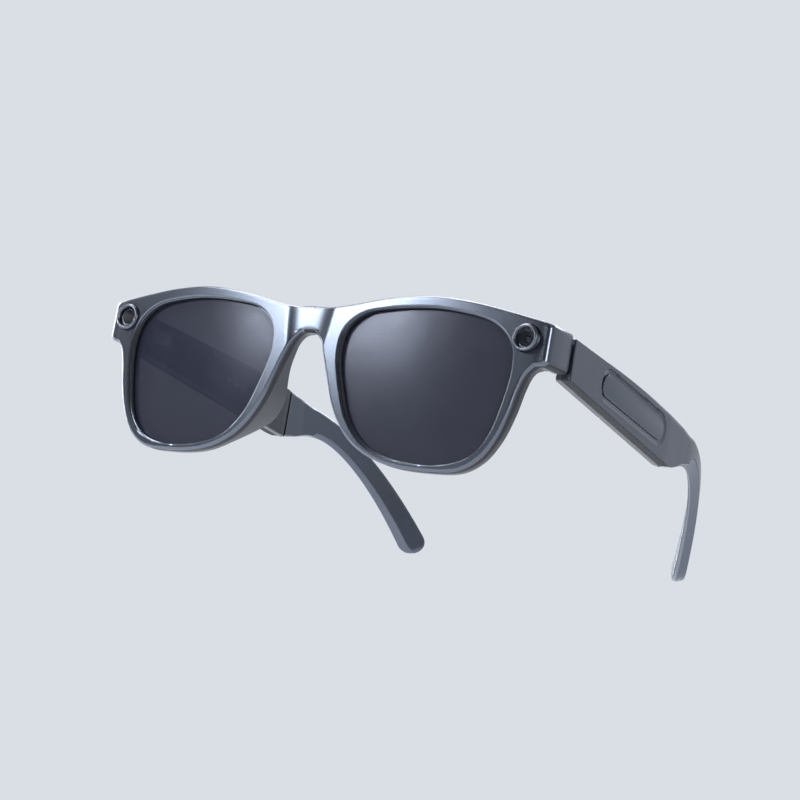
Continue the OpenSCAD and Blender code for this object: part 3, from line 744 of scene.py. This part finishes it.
# ---- temples ----
def rounded_loop(corners, radii, counts, arc=4):
    """A closed loop of points through rounded corners, with counts points along each straight."""
    c = np.array(corners, float)
    n = len(c)
    out = []
    for k in range(n):
        before, here, after = c[k - 1], c[k], c[(k + 1) % n]
        a = here + (before - here) / max(np.linalg.norm(before - here), 1e-9) * radii[k]
        b = here + (after - here) / max(np.linalg.norm(after - here), 1e-9) * radii[k]
        out += list(bend(a, here, b, arc + 1))
        to = after + (here - after) / max(np.linalg.norm(here - after), 1e-9) * radii[(k + 1) % n]
        out += [b + (to - b) * t for t in np.arange(1, counts[k] + 1) / (counts[k] + 1)]
    return np.array(out)


TOP_LINE = spline([(TEMPLE_Y, 18.5), (34, 17.4), (52, 16.2), (70, 14.7), (88, 12.6), (97, 11.35)], 20)
LOW_LINE = np.array([(TEMPLE_Y, 7.2), (87, -2.0), (HEEL_Y, -2.2)])
PLAN_U = np.linspace(0, 1.06, 60)
PLAN_LINE = np.vstack(([(y, outer_x(y)) for y in np.linspace(TEMPLE_Y, 86, 8)],
                       np.stack((hook_at(PLAN_U)[:, 1], hook_at(PLAN_U)[:, 0] + HOOK_T / 2), -1)))


def plan_x(y):
    """Outer face of a temple in plan: straight along the electronics, then round the ear hook."""
    bent = np.interp(y, *PLAN_LINE.T)
    early = np.interp(np.asarray(y) - 3, *PLAN_LINE.T)
    late = np.interp(np.asarray(y) + 3, *PLAN_LINE.T)
    share = smooth(y, 86, 90) * (1 - smooth(y, 100, 106))
    return bent + share * ((early + late) / 2 - bent)


def pad_dent(y, z):
    """Depth of the bevelled hollow round the touch pad, on the outer face."""
    along = (np.asarray(y) - TEMPLE_Y) / math.cos(SPLAY)
    up = np.asarray(z) - TEMPLE_Z
    a = along * math.cos(SLOPE) - up * math.sin(SLOPE)
    b = along * math.sin(SLOPE) + up * math.cos(SLOPE)
    start, end = PAD_Y + PAD_R, PAD_Y + PAD_LEN - PAD_R
    d = np.hypot(a - np.clip(a, start, end), b - PAD_Z) - PAD_R
    return -0.34 * np.clip((1.75 - d) / 1.15, 0, 1) + 0.07 * np.exp(-((d - 1.95) / 0.28) ** 2)


def temple_stations():
    """Bottom and top of each section in y and z, how far its outer side is set out, its thickness,
    how far it has turned into the ear hook, and how much it is drawn in at its ends."""
    rows = []
    ys = [TEMPLE_Y, TEMPLE_Y + 0.07, TEMPLE_Y + 0.22]
    ys += list(np.linspace(19.6, 34, 22)) + list(np.arange(34.5, 86.1,
                                                           0.5)) + list(np.linspace(86.8, HEEL_Y, 5))
    for y in ys:
        top = np.interp(y, *TOP_LINE.T)
        low = np.interp(y, *LOW_LINE.T)
        draw = {TEMPLE_Y: 0.2, TEMPLE_Y + 0.07: 0.07}.get(y, 0.0)
        rows.append((np.array((y, low)), np.array((y, top)), 0.0, TEMPLE_T - COVER_T - 0.03, 0.0, draw))
    start = rows[-1]

    def side(u, k):
        p, d = hook_at(u)[1:], hook_dir(u)
        return p + k * hook_half(u) * np.array((-d[1], d[0]))

    us = np.linspace(0, HOOK_END, 46)
    tops = spline([(88, 12.6), start[1], (97, 11.35), (103.5, 10.0), side(us[7], 1), side(us[9], 1)],
                  12)
    lows = spline([(87, -2.0), start[0], side(0, -1), side(us[4], -1), side(us[7], -1),
                   side(us[9], -1)], 12)
    for k, (top, low) in enumerate(zip(tops[12:49], lows[12:49])):
        t = min(1.0, k / 14)
        rows.append((low, top, 0.0, 4.7 + (HOOK_T - 4.7) * t, 0.2 * float(smooth(t, 0.2, 1.1)), 0.0))
    for u in us[8:]:
        turned = 0.2 + 0.8 * float(smooth(u, 0.0, 0.24))
        thick = hook_thick(u)
        rows.append((side(u, -1), side(u, 1), (thick - HOOK_T) / 2, thick, turned, 0.0))
    tip, d, half = hook_at(HOOK_END)[1:], hook_dir(HOOK_END), hook_half(HOOK_END)
    across = np.array((-d[1], d[0]))
    for a in np.radians((14, 28, 42, 55, 66, 75, 82, 87)):
        ahead, h = half * math.sin(a), half * math.cos(a)
        thick = hook_thick(HOOK_END) * (1 - 0.5 * (1 - math.cos(a)) ** 1.6)
        rows.append((tip + d * ahead - across * h, tip + d * ahead + across * h, (thick - HOOK_T) / 2,
                     thick, 1.0, 0.0))
    return rows


def shell_section(low, high, set_out, thick, hook, draw, with_pad):
    height = float(np.linalg.norm(high - low))
    y = low[0]
    small = min(1.0, height / 5)
    top_r = (0.3 + 1.5 * float(smooth(y, 45, 95)) if hook < 0.3 else 1.45) * small
    in_r = 0.12 if y <= HEEL_Y and thick < 3 else 1.1 * small
    corners = [(-thick, 0.2 * height * hook), (-thick * (0.5 + 0.2 * hook), 0),
               (0, 0.42 * height * hook),
               (0, height), (-thick, height)]
    radii = [in_r if hook < 0.05 else 0.5 * small, 0.001 + 0.45 * hook * small, 0.28 + 0.1 * hook,
             top_r, in_r]
    loop = rounded_loop(corners, radii, [5, 5, 40, 7, 0])
    hollow = BAY[0] < y < BAY[1] and thick < 3
    wall = 1.25 if hollow else thick
    margin = 1.5 if height > 6 else height * 0.3
    inner = [(-thick, height - margin), (-wall, height - margin - 0.01), (-wall, margin + 0.01),
             (-thick, margin)]
    inner = [(a, max(b, corners[0][1] + radii[0] * 1.01)) for a, b in inner]
    loop = np.vstack((loop, inner))
    if draw:
        middle = np.array((-thick / 2, height / 2))
        loop = middle + (loop - middle) * (1 - draw / np.array((thick / 2, height / 2)))
    unit = (high - low) / height
    q = low + loop[:, 1:] * unit
    x = plan_x(q[:, 0]) + set_out + loop[:, 0]
    if with_pad:
        on_face = loop[:, 0] > -0.05
        x = x + np.where(on_face & (height > 9), pad_dent(q[:, 0], q[:, 1]), 0)
    return np.stack((x, q[:, 0], q[:, 1]), -1)


def temple_shell_part(with_pad):
    rows = temple_stations()
    pts = np.array([shell_section(*row, with_pad) for row in rows])
    n, m = pts.shape[:2]
    faces = grid_faces(n, m, False, True)
    faces += [tuple(reversed(range(m))), tuple(range((n - 1) * m, n * m))]
    return pts.reshape(-1, 3), faces


def cover_part():
    ys = [TEMPLE_Y, TEMPLE_Y + 0.08, TEMPLE_Y + 0.25] + list(np.linspace(20, HEEL_Y - 2.4, 60))
    ys += [HEEL_Y - 1.8, HEEL_Y - 1.2, HEEL_Y - 0.7, HEEL_Y - 0.3, HEEL_Y - 0.06]
    near, rings = TEMPLE_T - COVER_T + 0.02, []
    for y in ys:
        top, low = float(np.interp(y, *TOP_LINE.T)), float(np.interp(y, *LOW_LINE.T))
        far = TEMPLE_T - 0.5 * float(smooth(y, HEEL_Y - 2.4, HEEL_Y))
        height = top - low
        loop = rounded_loop([(-far, 0), (-near, 0), (-near, height), (-far, height)],
                            [0.45, 0.12, 0.12, 0.45],
                            [4, 0, 4, 14])
        wall = 4.0 if BAY[0] < y < BAY[1] else near
        hollow = [(-near, 1.5), (-wall, 1.51), (-wall, height - 1.51), (-near, height - 1.5)]
        loop = np.vstack((loop[:14], hollow, loop[14:]))
        draw = {0: 0.2, 1: 0.07}.get(ys.index(y),
                                     0.25 if y > HEEL_Y - 0.1 else 0.08 if y > HEEL_Y - 0.4 else 0)
        middle = np.array((-(near + far) / 2, height / 2))
        loop = middle + (loop - middle) * (1 - draw / np.array(((far - near) / 2, height / 2)))
        rings.append(np.stack((float(plan_x(y)) + loop[:, 0], np.full(len(loop), y), low + loop[:, 1]),
                              -1))
    pts = np.array(rings)
    n, m = pts.shape[:2]
    faces = grid_faces(n, m, False, True)
    faces += [tuple(reversed(range(m))), tuple(range((n - 1) * m, n * m))]
    return pts.reshape(-1, 3), faces


def on_inner_face(p):
    """(along, up, height over the inner face) to the design frame."""
    p = np.asarray(p, float)
    return in_temple(np.stack((-TEMPLE_T - p[..., 2], p[..., 0], p[..., 1]), -1))


def on_outer_face(p):
    p = np.asarray(p, float)
    return in_temple(np.stack((p[..., 2], p[..., 0], p[..., 1]), -1))


def on_top_face(p):
    """(inwards, along, up) to the design frame."""
    p = np.asarray(p, float)
    return in_temple(np.stack((p[..., 0], p[..., 1], p[..., 2]), -1))


def rounded_rect(low, high, r, n=5):
    out = []
    for cx, cy, start in ((high[0] - r, high[1] - r, 0), (low[0] + r, high[1] - r, 90),
                          (low[0] + r, low[1] + r, 180), (high[0] - r, low[1] + r, 270)):
        out += [(cx + r * math.cos(math.radians(start + 90 * k / n)),
                 cy + r * math.sin(math.radians(start + 90 * k / n))) for k in range(n + 1)]
    return np.array(out)


def circle(centre, radius, n=32):
    turn = np.linspace(0, 2 * math.pi, n, endpoint=False)
    return np.stack((centre[0] + radius * np.cos(turn), centre[1] + radius * np.sin(turn)), -1)


SCREWS = [(8.6, -3.9), (31, -5.4), (31, 5.4)]
BUTTON = ((-2.4, 24.6), (-2.4, 29.4))    # ends of the capture button's slot
CONTACTS = [(y, 0.5) for y in (40, 44, 48)]
SENSOR = rounded_rect((9.6, -2.7), (16.0, 3.3), 1.0)
GRILLE = rounded_rect((55, -4.4), (66, -0.2), 0.6)
SWITCH_SLOT = rounded_rect((15.9, 1.3), (22.5, 3.3), 0.9)


def make_temple(side, name):
    """Shell, cover and fittings of one temple; side is 1 for the left and -1 for the right."""
    def sided(part):
        return part if side > 0 else mirrored(part)

    left = side > 0
    body = name + "_temple"
    shell = mesh_object(body + "_shell_skin", sided(temple_shell_part(left)), 30)
    pad_ends = ((PAD_Y + PAD_R, PAD_Z), (PAD_Y + PAD_LEN - PAD_R, PAD_Z))
    if left:
        combine(shell, sided(prism(stadium(*pad_ends, PAD_R + 0.17, 28), -0.7, 2, on_outer_face)),
                sharp=30)
    else:
        button_line = stadium(*BUTTON, 1.02)
        combine(shell, sided(prism(button_line, 3, 12, on_top_face)), sharp=30)
    piece(shell, "graphite", body, body + "_shell")
    # painted shade on the temple's undersides
    in_shade(shell, "shade", lambda p, n: n[2] < -0.3 and p[1] < HEEL_Y - 1)

    cover = mesh_object(body + "_cover_skin", sided(cover_part()))
    cuts = [upright_cylinder(HINGE[0], HINGE[1], 1.85, 0, 30),
            box_part((HINGE[0] - 0.3, HINGE[1], 11.45), (HINGE[0] + 1.4, HINGE[1] + 9.7, 15.35)),
            prism(GRILLE, -1.3, 2, on_inner_face)]
    cuts += [prism(circle(q, 1.0), -0.6, 2, on_inner_face) for q in SCREWS]
    if left:
        cuts.append(prism(SWITCH_SLOT, -0.85, 2, on_inner_face))
    else:
        cuts.append(prism(SENSOR, -0.85, 2, on_inner_face))
        cuts += [prism(circle(q, 0.95), -0.5, 2, on_inner_face) for q in CONTACTS]
        cuts.append(prism(stadium(*BUTTON, 1.02), 3, 12, on_top_face))
    for cut in cuts:
        combine(cover, sided(cut))
    piece(cover, "slate", body, body + "_cover")

    holes = [rounded_rect((55.9 + 1.4 * k, -3.75), (56.6 + 1.4 * k, -0.85), 0.34, 4) for k in range(7)]
    grille = mesh_object(name + "_speaker_mesh",
                         sided(prism(rounded_rect((55.06, -4.34), (65.94, -0.26), 0.55),
                                    -0.8, -0.15, on_inner_face, 0.1)))
    for hole in holes:
        combine(grille, sided(prism(hole, -2, 1, on_inner_face)))
    piece(grille, "mesh", body, name + "_speaker_grille")

    heads = []
    for q in SCREWS:
        heads.append(prism(circle(q, 0.9), -0.55, -0.04, on_inner_face, 0.12))
    screws = mesh_object(name + "_cover_screw_heads", sided(join_parts(*heads)))
    star = [[(q[0] + (0.42 if k % 2 else 0.3) * math.cos(k * math.pi / 6),
              q[1] + (0.42 if k % 2 else 0.3) * math.sin(k * math.pi / 6)) for k in range(12)]
              for q in SCREWS]
    combine(screws, sided(join_parts(*[prism(s, -0.3, 1, on_inner_face) for s in star])))
    piece(screws, "steel", body, name + "_cover_screws")

    if left:
        pad = mesh_object("touch_pad_bar",
                          sided(prism(stadium(*pad_ends, PAD_R, 28), -0.64, 0.02, on_outer_face, 0.16,
                                      4)))
        piece(pad, "graphite", body, "touch_pad")
        knob = mesh_object("power_switch_knob",
                           sided(prism(rounded_rect((16.0, 1.4), (19.0, 3.2), 0.8), -0.8, 0.28,
                                       on_inner_face, 0.25, 4)))
        ridge = [prism(rounded_rect((16.75 + 0.5 * k, 1.7), (16.95 + 0.5 * k, 2.9), 0.09, 3), 0.2, 1,
                       on_inner_face)
                 for k in range(4)]
        combine(knob, sided(join_parts(*ridge)))
        piece(knob, "black", "power_switch", "power_switch")
    else:
        button = mesh_object("capture_button_cap", sided(prism(stadium(*BUTTON, 0.9), 4.25, 7.08,
                                                              on_top_face, 0.3, 4)))
        piece(button, "bezel", "capture_button", "capture_button")
        window = mesh_object("wear_sensor_pane",
                             sided(prism(rounded_rect((9.66, -2.64), (15.94, 3.24), 0.95), -0.8, -0.03,
                                        on_inner_face, 0.15)))
        piece(window, "glass", body, "wear_sensor_window")
        tops = [prism(circle(q, 0.8), -0.95, -0.06, on_inner_face, 0.3, 4) for q in CONTACTS]
        contacts = mesh_object("charging_contact_tips", sided(join_parts(*tops)))
        piece(contacts, "gold", body, "charging_contacts")


make_front()
make_lens("left_lens", 1)
make_lens("right_lens", -1)
make_corner(1, "camera_bezel", "camera_window", "camera_barrel")
make_corner(-1, "light_bezel", "light_window", "light_reflector")
make_temple(1, "left")
make_temple(-1, "right")

# ---- the frame's own pieces that keep their shape ----
KEPT = {
    "steel": ["left_front_hinge", "right_front_hinge", "left_temple_hinge", "right_temple_hinge",
              "left_hinge_pin",
              "right_hinge_pin", "front_hinge_screws", "left_hinge_screws", "right_hinge_screws",
              "left_core_wire",
              "right_core_wire"],
    "board": ["camera_sensor", "light_board", "touch_sensor_board", "main_board", "wear_sensor"],
    "copper": ["brow_flex_cable", "battery_cable"],
    "foil": ["battery"],
    "black": ["left_speaker", "right_speaker", "button_switch"],
    "mesh": ["bridge_microphone"],
}
for material, names in KEPT.items():
    for name in names:
        node = frame["nodes"][name]
        node.data.materials.clear()
        node.data.materials.append(MAT[material])
        for face in node.data.polygons:
            face.material_index = 0
        if material == "steel" and "core" not in name:
            weld = node.modifiers.new("weld", "WELD")
            weld.merge_threshold = 1e-6
            bevel_all(node, 0.12, 2)

# ---- stage ----
FLOOR_Z = -0.16
GROUND = finish_material("ground", (0.8, 0.81, 0.83), 0.0, 0.75, 0.1, 60, 0.015, 0.05)
floor_mesh = bpy.data.meshes.new("floor")
reach = 9.0
turns = np.linspace(0, 2 * math.pi, 96, endpoint=False)
floor_mesh.from_pydata([(reach * math.cos(a), reach * math.sin(a), FLOOR_Z) for a in turns], [],
                       [tuple(range(96))])
floor = bpy.data.objects.new("floor", floor_mesh)
floor_mesh.materials.append(GROUND)
bpy.context.scene.collection.objects.link(floor)

# ---- light ----
SKY_PALE = (0.70, 0.735, 0.79, 1)
SKY_DIM = (0.035, 0.037, 0.045, 1)
world = bpy.data.worlds.new("studio")
bpy.context.scene.world = world
world.use_nodes = True
bpy.context.scene.view_settings.view_transform = "Standard"


def make_sky():
    """A plain studio: pale behind the object, dim in front of it, so that the front shows its form."""
    nodes, links = world.node_tree.nodes, world.node_tree.links
    away = nodes.new("ShaderNodeVectorMath")
    away.operation = "DOT_PRODUCT"
    away.inputs[1].default_value = (0.0, 0.98, 0.2)
    links.new(nodes.new("ShaderNodeTexCoord").outputs["Generated"], away.inputs[0])
    fade = nodes.new("ShaderNodeMapRange")
    fade.interpolation_type = "SMOOTHSTEP"
    fade.inputs["From Min"].default_value = -0.75
    fade.inputs["From Max"].default_value = 0.55
    links.new(away.outputs["Value"], fade.inputs["Value"])
    tone = nodes.new("ShaderNodeMix")
    tone.data_type = "RGBA"
    tone.inputs["A"].default_value = SKY_DIM
    tone.inputs["B"].default_value = SKY_PALE
    links.new(fade.outputs["Result"], tone.inputs["Factor"])
    links.new(tone.outputs["Result"], nodes["Background"].inputs["Color"])


make_sky()

MIDDLE = Vector(to_row((0, 8, 8)))


def soft_light(name, toward, distance_m, size, power, color):
    """A soft box in a direction from the middle of the front, turned to face it."""
    light = bpy.data.lights.new(name, "AREA")
    light.shape, light.size, light.size_y = "RECTANGLE", size[0], size[1]
    light.energy, light.color = power, color
    obj = bpy.data.objects.new(name, light)
    aim = Vector(AXES.T @ np.array(toward)).normalized()
    obj.location = MIDDLE + aim * distance_m
    obj.rotation_mode = "QUATERNION"
    obj.rotation_quaternion = (-aim).to_track_quat("-Z", "Y")
    bpy.context.scene.collection.objects.link(obj)


soft_light("front_key", (-0.53, -0.83, 0.40), 1.3, (0.38, 0.46), 14.5, (0.9, 0.95, 1.0))
soft_light("left_line", (-0.98, -0.10, 0.16), 1.3, (0.2, 0.7), 8, (0.95, 0.97, 1.0))
soft_light("low_line", (-0.53, -0.42, 0.74), 1.3, (0.5, 0.25), 8, (0.95, 0.97, 1.0))
soft_light("left_edge", (-0.82, 0.54, 0.2), 1.3, (0.4, 0.5), 7, (0.95, 0.97, 1.0))
soft_light("top", (-0.40, 0.15, 0.9), 1.3, (0.8, 0.5), 14, (1.0, 1.0, 1.0))
soft_light("back_top", (-0.10, 0.83, 0.58), 1.5, (1.2, 0.3), 9, (0.95, 0.97, 1.0))
soft_light("right_edge", (0.80, -0.51, 0.16), 1.3, (0.14, 0.6), 9, (0.95, 0.97, 1.0))

# ---- camera ----
CAMERA_AT = (403.96, -577.61, -109.33)
ROLL = math.radians(9.49)


def make_camera():
    azimuth, elevation = math.radians(32.69), math.radians(8.69)
    forward = np.array((-math.sin(azimuth) * math.cos(elevation),
                        math.cos(azimuth) * math.cos(elevation),
                        math.sin(elevation)))
    level_right = np.cross(forward, (0, 0, 1))
    level_right /= np.linalg.norm(level_right)
    level_up = np.cross(level_right, forward)
    right = level_right * math.cos(ROLL) + level_up * math.sin(ROLL)
    up = level_up * math.cos(ROLL) - level_right * math.sin(ROLL)
    turned = np.stack((right, up, -forward)) @ AXES
    data = bpy.data.cameras.new("camera")
    data.sensor_width, data.lens = 36.0, 118.74
    data.clip_start, data.clip_end = 0.01, 60
    camera = bpy.data.objects.new("camera", data)
    camera.matrix_world = Matrix.Translation(to_row(CAMERA_AT)) @ Matrix(turned.T.tolist()).to_4x4()
    bpy.context.scene.collection.objects.link(camera)
    bpy.context.scene.camera = camera


make_camera()
